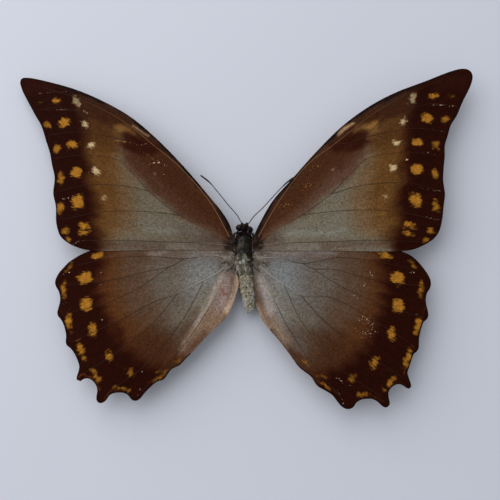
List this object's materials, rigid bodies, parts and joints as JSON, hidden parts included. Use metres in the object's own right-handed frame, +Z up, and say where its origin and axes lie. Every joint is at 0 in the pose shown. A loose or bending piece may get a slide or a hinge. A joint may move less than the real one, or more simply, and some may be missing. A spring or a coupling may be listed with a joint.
{
  "type": "spread butterfly specimen",
  "caption": "Dried butterfly with its wings spread flat: grey-brown wings, a dark scalloped margin with ochre spots, a furred body, thin clubbed antennae and legs folded under the thorax.",
  "frame": {"origin": "middle of the thorax's flat underside, on the surface that the specimen lies on", "axes": "+X along the wing span to the right-hand wings as seen from above with the head away from the viewer, +Y from the tail to the head, +Z up from the resting surface through the back"},
  "size_m": [0.1651, 0.1209, 0.0114],
  "materials": {
    "forewing_scales": "matte",
    "hindwing_scales": "matte",
    "thorax_hair": "matte",
    "abdomen_scales": "matte",
    "head_hair": "matte",
    "palp_hair": "matte",
    "tegula_scales": "matte",
    "eye_dome": "gloss",
    "antenna_horn": "satin",
    "leg_horn": "satin",
    "proboscis_horn": "satin"
  },
  "bodies": {
    "root": {"abdomen": "abdomen_scales", "antenna_left": "antenna_horn", "antenna_right": "antenna_horn", "eye_left": "eye_dome", "eye_right": "eye_dome", "foreleg_left": "leg_horn", "foreleg_right": "leg_horn", "forewing_left": "forewing_scales", "forewing_right": "forewing_scales", "head": "head_hair", "hindleg_left": "leg_horn", "hindleg_right": "leg_horn", "hindwing_left": "hindwing_scales", "hindwing_right": "hindwing_scales", "midleg_left": "leg_horn", "midleg_right": "leg_horn", "palp_left": "palp_hair", "palp_right": "palp_hair", "proboscis": "proboscis_horn", "tegula_left": "tegula_scales", "tegula_right": "tegula_scales", "thorax": "thorax_hair"}
  },
  "joints": []
}
